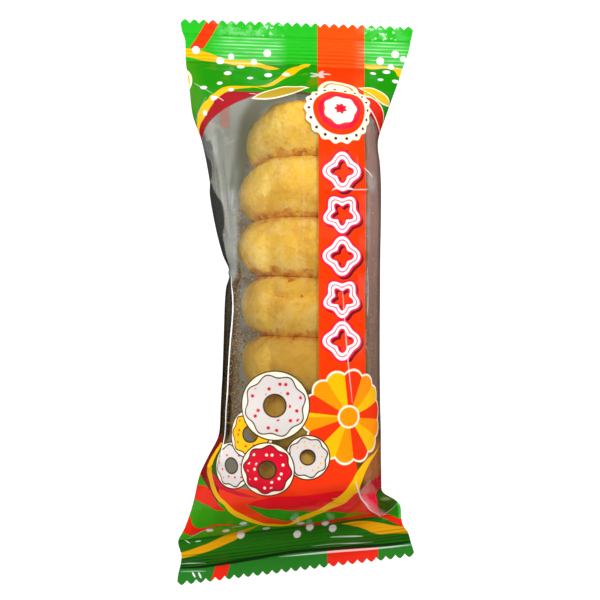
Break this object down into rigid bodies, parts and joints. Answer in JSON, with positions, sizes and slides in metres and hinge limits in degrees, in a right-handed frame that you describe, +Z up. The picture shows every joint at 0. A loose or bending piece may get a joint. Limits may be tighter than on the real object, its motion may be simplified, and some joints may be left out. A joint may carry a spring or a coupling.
{
  "type": "pack of ring doughnuts",
  "caption": "Sealed clear flow-wrap bag with printed ends and crimped zigzag seals, holding a row of small ring doughnuts stood on edge.",
  "frame": {"origin": "centre of the bounding box on the surface that the bag lies on", "axes": "+Z up out of the printed front, +Y along the bag to its top seal, +X to the bag's right seen from the front"},
  "size_m": [0.0996, 0.238, 0.0514],
  "materials": {
    "film": "clear glossy polypropylene film with an opaque print in green, orange, yellow, red and white at both ends and along one strip",
    "doughnut": "matte fried cake crust, golden on the crowns and browner where the rings meet"
  },
  "bodies": {
    "root": {"bag": "film"}
  },
  "joints": []
}
